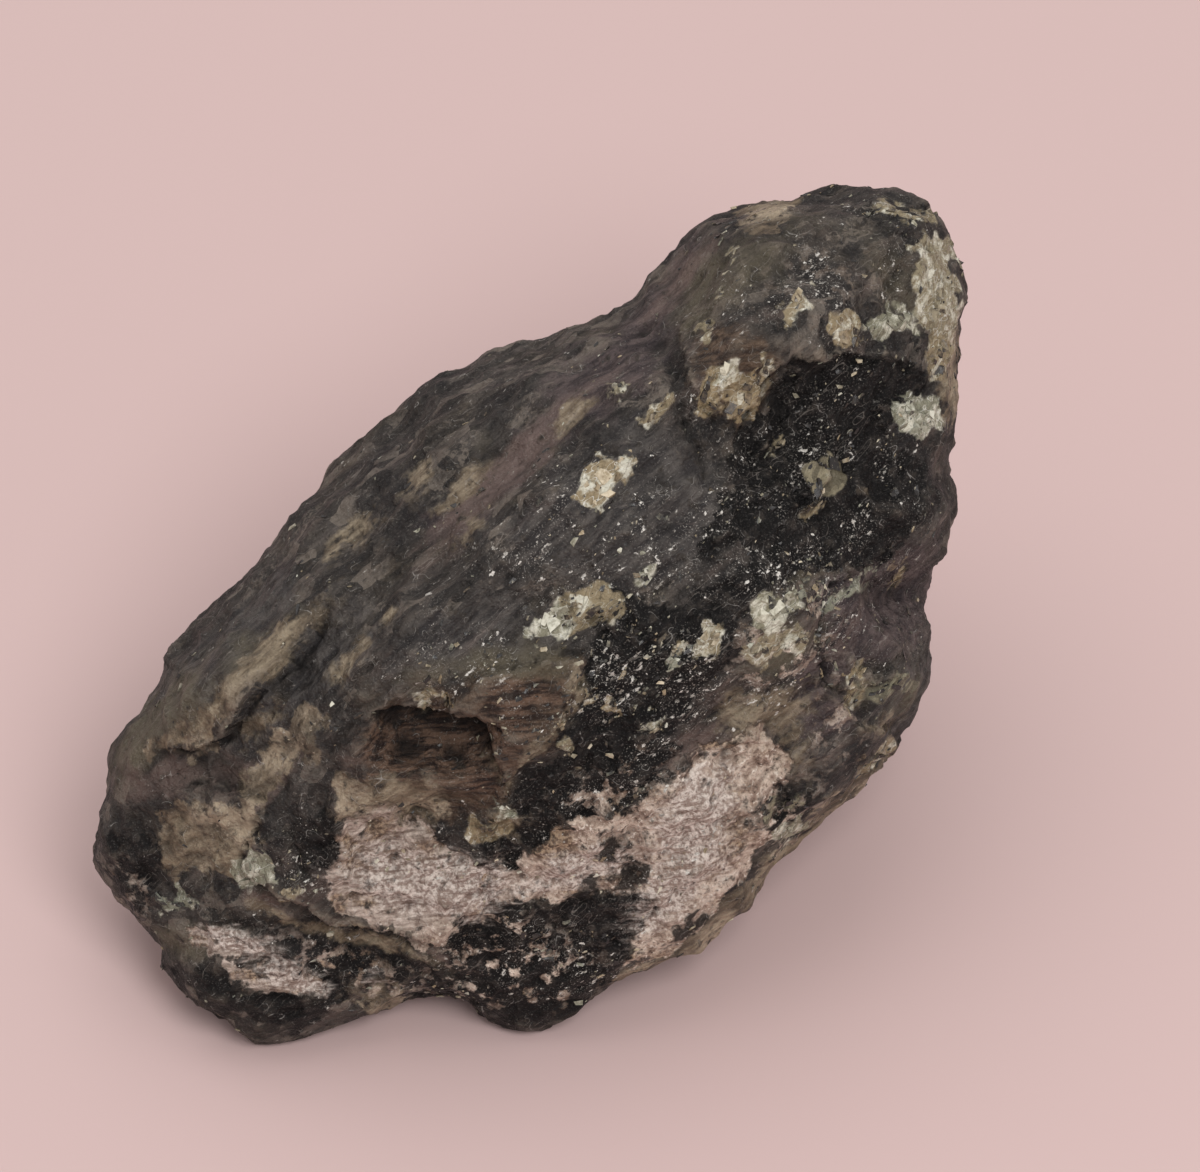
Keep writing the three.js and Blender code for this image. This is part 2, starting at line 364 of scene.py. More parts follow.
# Soft smears of colour or texture: middle, half length, half width, turn in degrees, strength.
SMEARS = {
    "white": [
        (-22, -67, 14, 6, 0, 1.3), (-33, -60, 8, 5, 20, 0.5), (-12, -70, 5, 6, 0, 0.5),
        (38, -50, 11, 8, 60, 1.1), (34, -68, 13, 6, 40, 1.0), (16, -62, 8, 4, 20, 0.8),
        (5, -65, 12, 4, 15, 0.6), (-66, -79.5, 9, 3, -12, 1.1), (-52, -88.5, 8, 3, -20, 1.2),
        (-34, -89, 3, 2, 0, 0.4),
    ],
    "ochre": [
        (54, -28, 9, 5, 30, 0.9), (46, -26, 5, 3, 50, 0.6), (60, -38, 5, 8, 0, 0.6),
        (12, -22, 6, 1.2, 82, 0.9), (4, -35, 9, 1.4, 50, 1.0), (-7, -38, 7, 1.2, -60, 0.8),
        (-44, -78, 14, 1.6, -6, 1.0), (-27, -82, 9, 1.6, -24, 1.0),
        (-60, -73, 9, 1.6, -24, 0.7), (-24, 24, 5, 2.6, 60, 0.9), (-14, 21, 8, 2.2, 42, 1.0),
        (11, 38, 6, 1.6, 45, 1.0), (-12, 13, 6, 1.6, 45, 0.7), (-38, 12, 7, 2.4, 35, 0.7),
        (-42, 7, 3, 1.6, 40, 0.5), (-30, -5.5, 3.4, 1.4, 50, 0.9),
        (-37, -13, 4.6, 1.6, 48, 0.9), (-41, -18, 4, 1.6, 45, 0.8), (-58, -30, 7, 2.6, 42, 0.8),
        (-68, -60, 5, 3.4, 30, 0.9), (-76, -56, 6, 3.5, 0, 0.6), (48, 42, 6, 4, 60, 0.6),
        (54, 86, 8, 1.4, 20, 0.8), (94, 48, 7, 2, 95, 0.9), (76, 21, 2, 1.4, 0, 0.4),
        (-28, -47, 12, 4, 10, 0.9), (-6, -52, 5, 4, 0, 0.8), (80, -31, 5, 2, 30, 0.7),
        (30, -88, 12, 2, 25, 0.8), (57, -62, 18, 2.4, 43, 0.6), (-62, -20, 20, 3, 43, 1.1),
        (-34, -92, 6, 3, 0, 0.6),
    ],
    # dark smears: partly dark rock in and around the granular band, partly painted shade just under
    # the upper rim of the hollow and below the brow above the left foot
    "dark_rock_and_shade": [
        (-50, -22, 13, 3.4, 43, 0.4), (20, -58, 4, 3, 0, 1.2), (22, -65, 5, 2.6, 20, 1.2),
        (13, -70, 3.4, 2.2, 30, 1.2), (2, -74, 4, 2.6, 80, 1.1), (37, -77, 5, 2, 40, 1.1),
        (55, -50, 7, 3.4, 40, 1.1), (32, -40, 6, 2, 40, 0.6), (-24, -31, 9, 2.0, -4, 0.8),
        (-46, -57, 5, 3, 80, 0.5), (-50, -80, 6, 3, -20, 1.0), (-30, -84, 10, 2, -10, 1.0),
        (-62, -76, 8, 2, -20, 0.8), (-72, -90, 8, 2.6, -20, 0.9),
    ],
    "mottled": [
        (-2, -86, 16, 9, 0, 1.1), (-8, -70, 5, 10, 0, 0.9), (20, -44, 16, 6, 30, 0.7),
        (-44, -86, 18, 6, -15, 0.7), (58, -12, 14, 9, 50, 0.8), (56, -54, 10, 8, 40, 0.7),
        (70, -30, 8, 14, 0, 0.5), (-90, -68, 8, 10, 0, 0.4), (66, 68, 24, 14, 20, 0.3),
    ],
    "umber": [
        (-24, -36, 15, 7, 0, 1.1), (-12, -38, 8, 6, -30, 1.0), (-2, -30, 8, 5, -60, 0.8),
        (4, -24, 8, 3, 0, 0.6), (-30, -43, 8, 3, 20, 0.5),
    ],
    "speckled": [
        (14, 2, 34, 20, 40, 1.2), (30, -28, 30, 14, 40, 1.3), (64, 16, 20, 22, 0, 1.1),
        (66, 68, 26, 18, 30, 0.7), (4, -88, 24, 10, 0, 1.2), (-20, -20, 16, 6, 0, 0.9),
        (60, -10, 24, 16, 30, 1.0), (-20, -62, 16, 12, 0, 0.7), (36, -56, 20, 16, 40, 0.8),
        (-50, -62, 12, 10, 0, 0.7), (-50, -86, 20, 8, -20, 0.6),
    ],
    "streaky": [
        (-27, -63, 20, 13, 0, 1.6), (-60, -85, 20, 8, -20, 1.2),
    ],
    "rosy": [
        (-3, 26, 28, 4.5, 46, 0.8), (36, 70, 16, 3, 55, 0.8), (44, -34, 13, 4.5, 30, 0.9),
        (-30, -82, 24, 2, -12, 0.9), (-62, -70, 10, 2, -30, 0.6), (84, 10, 8, 3, 80, 0.5),
        (72, -14, 8, 3, 60, 0.5), (8, -64, 14, 5, 15, 0.6), (-54, -42, 12, 3, 58, 0.8),
        (-78, -43, 11, 5, 10, 0.9), (-64, -42, 6, 4, 40, 0.6),
    ],
    "olive": [
        (-10, -19, 22, 4.4, 5, 0.8), (-60, -14, 16, 5, 42, 0.6), (40, 66, 16, 9, 60, 0.6),
        (56, 78, 10, 6, 30, 0.5), (-84, -32, 16, 8, 40, 1.0), (84, 74, 14, 10, 90, 0.5),
        (64, 4, 10, 4, 30, 0.6), (56, -12, 12, 7, 60, 0.7), (80, -24, 12, 7, 0, 0.4),
        (-74, -62, 10, 5, 0, 0.4), (-76, -80, 10, 5, 0, 0.5),
    ],
}

# Ledges: a route, how far its left side stands proud, and the run over which it sinks back.
LEDGES = [
    # plate on the left flank
    ([(-84, -38), (-76, -38), (-69, -35), (-64, -27), (-54, -16), (-44, -4)], 5.5, 22),
    # flaky lower edge of the cap
    ([(36, 62), (37, 52), (39, 42), (43, 40), (47, 37), (51, 39), (54, 42), (55, 48), (61, 52),
      (73, 53), (84, 52), (96, 48)], 4.5, 14),
    # brow above the left foot
    ([(-67, -68), (-52, -74), (-45, -79), (-29, -80), (-17, -85)], 7, 10),
    # upper rim of the hollow
    ([(-38, -33), (-30, -29), (-20, -28), (-10, -29), (-4, -34)], 5, 9),
    # edge of the block at the lower left
    ([(-84, -48), (-75, -47), (-66, -49), (-60, -52)], -3, 10),
    # break that runs down the right side
    ([(88, -34), (78, -32), (70, -24), (67, -12), (72, 0), (84, 8)], 3, 10),
]

# Cracks and scratches: a route, its depth and its half width.
CRACKS = [
    ([(-60, -55), (-45, -36), (-25, -14), (-11, 5), (7, 25), (25, 43)], -2.2, 6),
    ([(-58, -56), (-44, -38), (-24, -16), (-9, 3), (8, 22), (26, 41)], 0.9, 0.8),
    ([(-60, -47), (-47, -33), (-38, -22), (-30, -12)], 1.0, 0.7),
    ([(12, 6), (17, 14), (26, 26)], 0.9, 0.6),
    ([(31, 57), (36, 42), (40, 32), (42, 22)], 1.8, 1.2),
    ([(-67, -66), (-65, -60), (-62, -56)], 2.0, 0.9),
    ([(-56, -58), (-53, -66), (-50, -70)], 1.6, 0.9),
]

# Soft hollows: middle, half length, half width, turn in degrees and depth.
HOLLOWS = [
    (-21, -38, 15, 8, 0, 4), (-24, -65, 16, 9, 0, 3), (72, 26, 20, 16, 20, 3),
    (-52, -22, 14, 5, 42, 2.5), (22, -32, 16, 8, 45, 2.5), (-50, -62, 7, 8, 0, 2.5),
    (72, -20, 10, 14, 0, 2.5),
]

# Plates that stand up all over: an outline and its height.
PLATES = [
    # translucent tongue beside the hollow
    ([(-17, -26), (-11, -31), (-7, -39), (-4, -48), (0, -40), (7, -35), (10, -28), (16, -16),
      (7, -18), (-7, -21)], 3.0),
]


# ---- minerals at each point


def scattered_flakes(places, size, share, seed):
    """Depth inside angular flakes strewn one to a cell, and a random number for each flake."""
    scaled = places / size
    cell = np.floor(scaled)
    depth = np.full(len(places), -1.0)
    shade = np.zeros(len(places))
    for step in np.ndindex(3, 3, 3):
        neighbour = cell + np.array(step) - 1
        heart = neighbour + hashed_vectors(neighbour, seed)
        slimness = hashed_vectors(neighbour, seed + 3) + 0.5
        chosen = hashed(neighbour, seed + 6) < share
        radius = np.where(chosen, 0.15 + 0.3 * hashed(neighbour, seed + 7), -1)
        here = radius - (np.abs(scaled - heart) * slimness).sum(1)
        deeper = here > depth
        depth[deeper] = here[deeper]
        shade[deeper] = hashed(neighbour[deeper], seed + 8)
    return depth * size, shade


def wandering(places, size, reach, seed):
    """Places pushed about by noise, so that what is drawn on them has a ragged edge."""
    push = np.stack([fractal(places, size, 3, seed + k * 10) for k in range(3)], 1)
    return places + push * reach


def crystal_fields(flat):
    """Depth inside the nearest named crystal, its brightness, greenness and facet height."""
    depth = np.full(len(flat), -float(FARTHEST))
    bright = np.zeros(len(flat))
    green = np.zeros(len(flat))
    facet = np.zeros(len(flat))
    for index, (u, v, length, width, turn, shine, tint) in enumerate(CRYSTALS):
        along, beside = turned(flat - (u, v), turn)
        flank = width - np.abs(beside)
        tip = (length - np.abs(along) - 0.45 * np.abs(beside)) * 0.9
        here = np.minimum(flank, tip)
        deeper = here > depth
        depth[deeper] = here[deeper]
        bright[deeper] = shine
        green[deeper] = tint
        lean = (-1) ** index
        facet[deeper] = (0.3 * lean * beside / width + 0.2 * along / length)[deeper]
    return depth, bright, green, facet


def smear_field(flat, smears):
    """How strongly soft smears or hollows cover each point."""
    total = np.zeros(len(flat))
    for u, v, length, width, turn, strength in smears:
        along, beside = turned(flat - (u, v), turn)
        total += strength * np.exp(-((along / length) ** 2) - (beside / width) ** 2)
    return total


HIDDEN_SHARES = {
    # mineral: size of its patches and how much noise they need to appear on the hidden sides
    "cream": (30, 0.22),
    "tan": (22, 0.24),
    "black": (26, 0.05),
    "brown": (34, 0.25),
    "purple": (40, 0.12),
    "grey": (36, 0.1),
}


def mineral_fields(places):
    """Every number that the material reads, at each place."""
    showing = smooth_step(*COLOURS_FADE, places[:, 2])
    flat = wandering(wandering(places, 8, 3.0, 41), 2.6, 1.0, 45)[:, :2]
    fields = {}
    for order, (name, outlines) in enumerate(PATCHES.items()):
        drawn = np.full(len(places), -float(FARTHEST))
        for outline in outlines:
            drawn = np.maximum(drawn, patch_depth(flat, outline))
        size, least = HIDDEN_SHARES[name]
        chance = (fractal(places, size, 4, 200 + order * 10) - least) * size * 0.6
        fields[name] = showing * drawn + (1 - showing) * np.clip(chance, -FARTHEST, FARTHEST)
    ragged = wandering(wandering(places, 4, 3.5, 71), 1.5, 1.4, 75)
    depth, bright, green, facet = crystal_fields(ragged[:, :2])
    named = depth * showing - (1 - showing) * FARTHEST
    hidden_depth, shade = scattered_flakes(ragged, size=17, share=0.3, seed=300)
    hidden = showing * -FARTHEST + (1 - showing) * hidden_depth
    use_hidden = hidden > named
    fields["crystal"] = np.where(use_hidden, hidden, named)
    fields["crystal_bright"] = np.where(use_hidden, 0.3 + 0.6 * shade, bright)
    fields["crystal_green"] = np.where(use_hidden, 1 - shade, green)
    fields["facet"] = np.where(use_hidden, 0, facet)
    for order, (name, smears) in enumerate(SMEARS.items()):
        chance = smooth_step(0.1, 0.6, fractal(places, 24, 4, 400 + order * 10)) * 0.8
        fields[name] = showing * smear_field(flat, smears) + (1 - showing) * chance
    return fields


# ---- shape


def fade_at_ends(share):
    """1 in the middle of a route and 0 at its ends."""
    return np.sin(np.pi * np.clip(share, 0, 1)) ** 0.5


def ledge_height(flat, route, height, run_out):
    """A step along a route: its left side stands proud and its right side sinks."""
    distance, side, share = line_distance(flat, route)
    return side * fade_at_ends(share) * height / 2 * np.exp(-distance / run_out)


def crack_height(flat, route, depth, width):
    """A groove along a route, or a ridge where the depth is below 0."""
    distance, _, share = line_distance(flat, route)
    return -fade_at_ends(share) * depth * np.exp(-((distance / width) ** 2))


def break_height(places):
    """Scooped breaks of three sizes, the finest drawn out along the grain."""
    large = chipped(wandering(places, 12, 6, 11), size=24, slope=0.2, seed=21)
    middling = chipped(wandering(places, 6, 2.5, 15), size=9, slope=0.24, seed=31)
    along_grain = wandering(stretched(places, GRAIN_TURN, 2), 3, 1.2, 17)
    return large + middling + chipped(along_grain, size=4, slope=0.2, seed=35)


def grain_height(places, minerals):
    """Fine relief: streaks along the grain, rougher where it is cream and pitted in the black."""
    rough = smooth_step(-1, 3, minerals["cream"])
    dark = smooth_step(-1, 2, minerals["black"])
    height = fractal(stretched(places, GRAIN_TURN, 5), size=7, octaves=4, seed=51)
    height += (0.3 + 2.2 * rough) * fractal(places, size=5, octaves=4, seed=55)
    height += 0.8 * rough * fractal(places, size=2.2, octaves=2, seed=57)
    height += 1.6 * rough * fractal(stretched(places, GRAIN_TURN, 1.6), 11, 2, 56)
    height += 0.5 * rough * fractal(stretched(places, 5, 3), size=1.8, octaves=2, seed=58)
    pits = smooth_step(0.1, 0.5, fractal(places, size=3, octaves=2, seed=61))
    return height - 0.8 * dark * pits


def named_height(places):
    """The ledges, cracks, plates and hollows that are set one by one on the show face."""
    flat = wandering(places, 5, 1.6, 65)[:, :2]
    height = np.zeros(len(places))
    for ledge in LEDGES:
        height += ledge_height(flat, *ledge)
    for crack in CRACKS:
        height += crack_height(flat, *crack)
    for outline, rise in PLATES:
        height += rise * smooth_step(-0.4, 0.8, patch_depth(flat, outline))
    return (height - smear_field(flat, HOLLOWS)) * smooth_step(*SHAPES_FADE, places[:, 2])


def surface_height(places):
    """How far the broken surface stands out of the smooth form."""
    minerals = mineral_fields(places)
    rim = np.exp(-(((places[:, 2] - RIM_DEPTH) / 14) ** 2))
    height = 0.6 + 2.6 * rim + break_height(places) + grain_height(places, minerals)
    height += named_height(places)
    raised = smooth_step(-0.3, 0.7, minerals["crystal"])
    return height * (1 - 0.5 * raised) + raised * (0.9 + 2.2 * minerals["facet"])


def add_object(name, data):
    added = bpy.data.objects.new(name, data)
    bpy.context.scene.collection.objects.link(added)
    return added


def smoothed_stone():
    """A finely divided, smoothed copy of the CAD stone."""
    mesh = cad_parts[STONE].data.copy()
    mesh.materials.clear()
    builder = bmesh.new()
    builder.from_mesh(mesh)
    bmesh.ops.remove_doubles(builder, verts=builder.verts, dist=UNIT / 1000)
    builder.to_mesh(mesh)
    builder.free()
    piece = add_object("labradorite_stone", mesh)
    piece.modifiers.new("smooth", "SUBSURF").levels = 3
    bake_modifiers(piece)
    return piece


def bake_modifiers(piece):
    """Replaces a piece's mesh with what its modifiers make of it."""
    graph = bpy.context.evaluated_depsgraph_get()
    finished = bpy.data.meshes.new_from_object(piece.evaluated_get(graph))
    piece.modifiers.clear()
    piece.data = finished


def read_vectors(items, name):
    numbers = np.zeros(len(items) * 3)
    items.foreach_get(name, numbers)
    return numbers.reshape(-1, 3)


def points_and_normals(mesh):
    return read_vectors(mesh.vertices, "co"), read_vectors(mesh.vertex_normals, "vector")


def fitted(points):
    """Points brought into the CAD box: a box that has grown is pressed back, side by side."""
    low, high = np.array(cad_low), np.array(cad_high)
    margin = UNIT / 20
    for axis in (0, 1):
        middle = (low[axis] + high[axis]) / 2
        reach = (high[axis] - low[axis]) / 2 - margin
        stand_out = max(middle - points[:, axis].min(), points[:, axis].max() - middle)
        points[:, axis] = middle + (points[:, axis] - middle) * min(1, reach / stand_out)
    points[:, 2] = np.clip(points[:, 2], low[2], None)
    points[:, 2] *= min(1, (high[2] - margin) / points[:, 2].max())
    return points


def write_field(mesh, name, numbers, domain="POINT"):
    """Keeps a number for each point or face, under a name that the material reads."""
    mesh.attributes.new(name, "FLOAT", domain).data.foreach_set("value", numbers)


def sharpness(mesh, reach):
    """Above 0 along sharp edges and below 0 in grooves: how far each point stands out of the
    level of the points around it, up to reach edges away."""
    points, normals = points_and_normals(mesh)
    ends = np.zeros(len(mesh.edges) * 2, int)
    mesh.edges.foreach_get("vertices", ends)
    first, second = ends.reshape(-1, 2).T
    count = np.bincount(ends, minlength=len(points))

    def around(values):
        total = np.bincount(first, values[second], len(points))
        return (total + np.bincount(second, values[first], len(points))) / count

    level = points
    for _ in range(reach):
        level = np.stack([around(level[:, axis]) for axis in range(3)], 1)
    return around(((points - level) * normals).sum(1)) / UNIT


def make_stone():
    """The broken stone, with the numbers that its material reads."""
    piece = smoothed_stone()
    mesh = piece.data
    points, normals = points_and_normals(mesh)
    height = surface_height(face_places(points))
    off_floor = smooth_step(0, 4 * UNIT, points[:, 2])
    points += normals * (height * off_floor * UNIT)[:, None]
    mesh.vertices.foreach_set("co", fitted(points).ravel())
    thin_out = piece.modifiers.new("thin out", "DECIMATE")
    thin_out.ratio = TRIANGLES / (2 * len(mesh.polygons))
    bake_modifiers(piece)
    mesh = piece.data
    points = fitted(read_vectors(mesh.vertices, "co"))
    mesh.vertices.foreach_set("co", points.ravel())
    for name, numbers in mineral_fields(face_places(points)).items():
        write_field(mesh, name, numbers)
    write_field(mesh, "edge", sharpness(mesh, reach=3))
    write_field(mesh, "swell", sharpness(mesh, reach=24))
    mesh.shade_smooth()
    return piece


# ---- chips

# A block's faces, by the numbers of its corners.
BLOCK_FACES = np.array(
    ((0, 1, 3, 2), (4, 6, 7, 5), (0, 4, 5, 1), (2, 3, 7, 6), (0, 2, 6, 4), (1, 5, 7, 3))
)
BLOCK_CORNERS = np.array(list(np.ndindex(2, 2, 2))) * 2.0 - 1
BLOCKS_TO_A_CRYSTAL = 5
LOOSE_CHIPS = 2000
FAR_OUT = 200  # well clear of the stone, to look down on it from


def chip_axes(normal, turn, tilt):
    """Three directions for a chip: along the turn on the surface, beside it, and outward."""
    outward = (Vector(normal) + tilt).normalized()
    along = face_direction(turn)
    along = (along - outward * along.dot(outward)).normalized()
    return np.array((along, outward.cross(along), outward))


def chip_corners(chance, middle, normal, turn, half_sizes):
    """An angular fragment with uneven corners, half sunk in the surface at middle."""
    tilt = Vector(chance.normal(0, 0.17, 3))
    corners = BLOCK_CORNERS * chance.uniform(0.2, 1.25, (8, 3))
    axes = chip_axes(normal, turn + chance.normal(0, 12), tilt)
    return np.array(middle) + (corners * half_sizes * UNIT) @ axes


def named_chips(chance, tree):
    """Blocks that build up each named crystal: corners, brightness and greenness."""
    for u, v, length, width, turn, bright, green in CRYSTALS:
        start = MIDDLE + UNIT * (u * ACROSS + v * UP_FACE + FAR_OUT * OUT_OF_FACE)
        angle = math.radians(turn)
        for _ in range(BLOCKS_TO_A_CRYSTAL):
            ahead = float(chance.uniform(-0.7, 0.7)) * length
            aside = float(chance.uniform(-0.7, 0.7)) * width
            shift = (ahead * math.cos(angle) - aside * math.sin(angle)) * ACROSS
            shift += (ahead * math.sin(angle) + aside * math.cos(angle)) * UP_FACE
            spot, normal, _, _ = tree.ray_cast(start + UNIT * shift, -OUT_OF_FACE)
            if spot is None:  # past the stone's edge
                continue
            share = chance.uniform(0.12, 0.38)
            reach = min(length, 5) * share
            sizes = np.array((reach, min(width, 3) * share * 1.3, 0.2 + 0.05 * min(width, 4)))
            corners = chip_corners(chance, spot, normal, turn, sizes)
            yield corners, bright * chance.uniform(0.55, 1.1), green


def loose_chips(chance, mesh):
    """Small fragments all over the stone, gathered in clusters."""
    points, normals = points_and_normals(mesh)
    places = face_places(points)
    crowd = smooth_step(-0.15, 0.45, fractal(places, 16, 4, 500)) + 0.08
    crowd *= points[:, 2] > 3 * UNIT
    minerals = mineral_fields(places)
    crowd *= 1 - 0.8 * smooth_step(-1, 1, minerals["cream"])
    crowd *= 0.15 + minerals["speckled"]
    for index in chance.choice(len(points), LOOSE_CHIPS, p=crowd / crowd.sum()):
        length = 0.3 + 0.9 * chance.random() ** 3
        sizes = np.array((length, length * chance.uniform(0.3, 0.7), 0.12 * length + 0.1))
        turn = GRAIN_TURN + chance.normal(0, 30)
        corners = chip_corners(chance, points[index], normals[index], turn, sizes)
        bright = 0.9 * chance.random() ** 2.2 + 0.5 * (minerals["cream"][index] > 0)
        yield corners, bright, chance.random()


def make_chips(stone):
    """All the small fragments, as one piece."""
    chance = np.random.default_rng(8)
    mesh = stone.data
    tree = BVHTree.FromPolygons(
        [vertex.co for vertex in mesh.vertices], [face.vertices for face in mesh.polygons]
    )
    chips = [*named_chips(chance, tree), *loose_chips(chance, mesh)]
    corners = np.concatenate([chip[0] for chip in chips])
    low, high = np.array(cad_low), np.array(cad_high)
    corners = np.clip(corners, low + UNIT / 50, high - UNIT / 50)
    first = np.arange(len(chips))[:, None, None] * 8
    faces = (BLOCK_FACES[None] + first).reshape(-1, 4)
    chip_mesh = bpy.data.meshes.new("feldspar_chips")
    chip_mesh.from_pydata(corners.tolist(), [], faces.tolist())
    for name, number in (("crystal_bright", 1), ("crystal_green", 2)):
        write_field(chip_mesh, name, np.repeat([chip[number] for chip in chips], 8))
    write_field(chip_mesh, "facet_shade", chance.random(len(faces)), domain="FACE")
    return add_object("feldspar_chips", chip_mesh)


# ---- material


def paint(red, green, blue):
    """A colour as it is seen, 0 to 255, as the shader's linear one."""
    seen = [part / 255 for part in (red, green, blue)]
    return (*[part / 12.92 if part < 0.04 else ((part + 0.055) / 1.055) ** 2.4 for part in seen], 1)


class Nodes:
    """Adds nodes to a material. Inputs are numbers, colours or other nodes' outputs."""

    def __init__(self, material):
        self.tree = material.node_tree
        self.shader = self.tree.nodes["Principled BSDF"]

    def add(self, kind, inputs, output=0, **settings):
        node = self.tree.nodes.new(kind)
        for name, value in settings.items():
            setattr(node, name, value)
        for socket, value in inputs.items():
            if isinstance(value, bpy.types.NodeSocket):
                self.tree.links.new(value, node.inputs[socket])
            else:
                node.inputs[socket].default_value = value
        return node.outputs[output]

    def field(self, name):
        return self.add("ShaderNodeAttribute", {}, output="Fac", attribute_name=name)

    def math(self, operation, first, second=0.0):
        return self.add("ShaderNodeMath", {0: first, 1: second}, operation=operation)

    def times(self, first, second):
        return self.math("MULTIPLY", first, second)

    def weighted(self, first, share, second):
        """The first number times a share, plus the second."""
        inputs = {0: first, 1: share, 2: second}
        return self.add("ShaderNodeMath", inputs, operation="MULTIPLY_ADD")

    def step(self, value, low, high):
        """0 up to low and 1 from high, smoothly between them."""
        inputs = {"Value": value, "From Min": low, "From Max": high}
        return self.add("ShaderNodeMapRange", inputs, interpolation_type="SMOOTHSTEP")

    def ramp(self, value, low, high, least, most):
        """A value from low to high, as a number from least to most."""
        ends = {"From Min": low, "From Max": high, "To Min": least, "To Max": most}
        return self.add("ShaderNodeMapRange", {"Value": value, **ends})

    def mix(self, share, first, second):
        inputs = {"Factor": share, 6: first, 7: second}
        return self.add("ShaderNodeMix", inputs, output=2, data_type="RGBA")

    def two_tone(self, texture, low, high, first, second):
        """The first colour where a texture is at low, and the second where it is at high."""
        return self.mix(self.step(texture, low, high), first, second)

    def tinted(self, colour, share, most, tint):
        """A colour covered by a tint up to a share of at most this much."""
        return self.mix(self.times(share, most), colour, tint)

    def places(self, size, stretch, turn, shift):
        """Places on the stone in a grain of this size in millimetres, running along a turn."""
        along = face_direction(turn)
        beside = OUT_OF_FACE.cross(along)
        turned = Matrix((along, beside, OUT_OF_FACE)).transposed().to_euler()
        size = size / 1000
        inputs = {
            "Vector": self.add("ShaderNodeTexCoord", {}, output="Object"),
            "Location": (shift * size, shift * size / 2, 0),
            "Rotation": turned,
            "Scale": (size * stretch, size, size),
        }
        return self.add("ShaderNodeMapping", inputs, vector_type="TEXTURE")

    def noise(self, size, stretch=1, turn=GRAIN_TURN, detail=3, shift=0):
        inputs = {
            "Vector": self.places(size, stretch, turn, shift),
            "Scale": 1.0,
            "Detail": detail,
            "Roughness": 0.6,
        }
        return self.add("ShaderNodeTexNoise", inputs)

    def facets(self, size, stretch=1, turn=GRAIN_TURN, shift=0):
        """A random number for each angular grain."""
        inputs = {"Vector": self.places(size, stretch, turn, shift), "Scale": 1.0}
        return self.add("ShaderNodeTexVoronoi", inputs, output=1)

    def hairs(self, size, width, stretch=1, turn=GRAIN_TURN, shift=0):
        """Thin curling lines."""
        level = self.noise(size, stretch, turn, detail=1, shift=shift)
        away = self.math("ABSOLUTE", self.math("SUBTRACT", level, 0.5))
        return self.step(away, width, 0)

    def bump(self, height, strength, distance):
        inputs = {"Strength": strength, "Distance": distance, "Height": height}
        return self.add("ShaderNodeBump", inputs)

    def shade(self, colour, roughness, normal):
        """Hands the finished colour, roughness and bump to the shader."""
        for name, value in (("Base Color", colour), ("Roughness", roughness), ("Normal", normal)):
            self.tree.links.new(value, self.shader.inputs[name])


def new_material(name, kind):
    material = bpy.data.materials.new(name)
    material.use_nodes = True
    return material, kind(material)


class StoneNodes(Nodes):
    """The stone's nodes, with the grains that its minerals share."""

    def __init__(self, material):
        super().__init__(material)
        self.cloud = self.noise(6, detail=6)
        self.warmth = self.noise(9, detail=5, shift=17)
        self.streak = self.noise(0.9, stretch=5, detail=5, shift=3)
        self.band = self.noise(3, stretch=5, detail=4, shift=5)
        self.grain = self.noise(0.4, detail=4, shift=7)
        self.coarse = self.noise(1.3, detail=5, shift=9)
        self.flow = self.noise(0.5, stretch=6, turn=4, detail=7, shift=11)
        off_level = self.math("SUBTRACT", self.noise(2.2, detail=8), 0.5)
        self.wander = self.times(off_level, 15)

    def inside(self, name, soft=0.6):
        """1 inside a mineral's patches and 0 outside them, with a ragged edge."""
        depth = self.math("ADD", self.field(name), self.wander)
        return self.step(depth, -soft, soft)

    def smeared(self, name, texture, most, ragged=1.0):
        """How much of a smear shows, torn up by a texture."""
        torn = self.times(self.math("SUBTRACT", texture, 0.5), ragged)
        strength = self.math("ADD", self.field(name), torn)
        return self.times(self.step(strength, 0.15, 0.8), most)


def charcoal_rock(nodes):
    """The dark rock between the patches, with warm drifts and small cleaved faces, some painted
    pale as a painted glint and some painted near black as painted shade.
    """
    dark = nodes.two_tone(nodes.coarse, 0.4, 0.65, paint(32, 30, 30), paint(60, 56, 53))
    light = nodes.two_tone(nodes.streak, 0.35, 0.7, paint(48, 45, 43), paint(92, 85, 80))
    rock = nodes.two_tone(nodes.cloud, 0.38, 0.62, dark, light)
    rock = nodes.two_tone(nodes.band, 0.5, 0.7, rock, paint(76, 68, 63))
    warm = nodes.two_tone(nodes.streak, 0.35, 0.7, paint(46, 41, 36), paint(84, 75, 64))
    rock = nodes.two_tone(nodes.warmth, 0.5, 0.75, rock, warm)
    cleaved = nodes.weighted(nodes.grain, 0.5, nodes.facets(1.5, stretch=1.8))
    # painted glint: pale on a few small cleaved faces, as if they caught the light
    facet_glint = nodes.times(nodes.step(cleaved, 0.9, 0.98), nodes.step(nodes.cloud, 0.4, 0.6))
    rock = nodes.tinted(rock, facet_glint, 0.6, paint(124, 114, 104))
    # painted shade: near black on other small cleaved faces
    return nodes.tinted(rock, nodes.step(cleaved, 0.62, 0.54), 0.5, paint(22, 20, 20))


def tan_seam(nodes):
    """Banded tan with dark pits, a few pale grains and dusky drifts."""
    tan = nodes.two_tone(nodes.band, 0.38, 0.6, paint(92, 82, 70), paint(172, 156, 134))
    tan = nodes.two_tone(nodes.coarse, 0.44, 0.32, tan, paint(58, 50, 44))
    tan = nodes.two_tone(nodes.grain, 0.56, 0.76, tan, paint(186, 172, 152))
    dusky = nodes.two_tone(nodes.streak, 0.35, 0.7, paint(76, 66, 56), paint(132, 116, 96))
    return nodes.two_tone(nodes.cloud, 0.56, 0.4, tan, dusky)


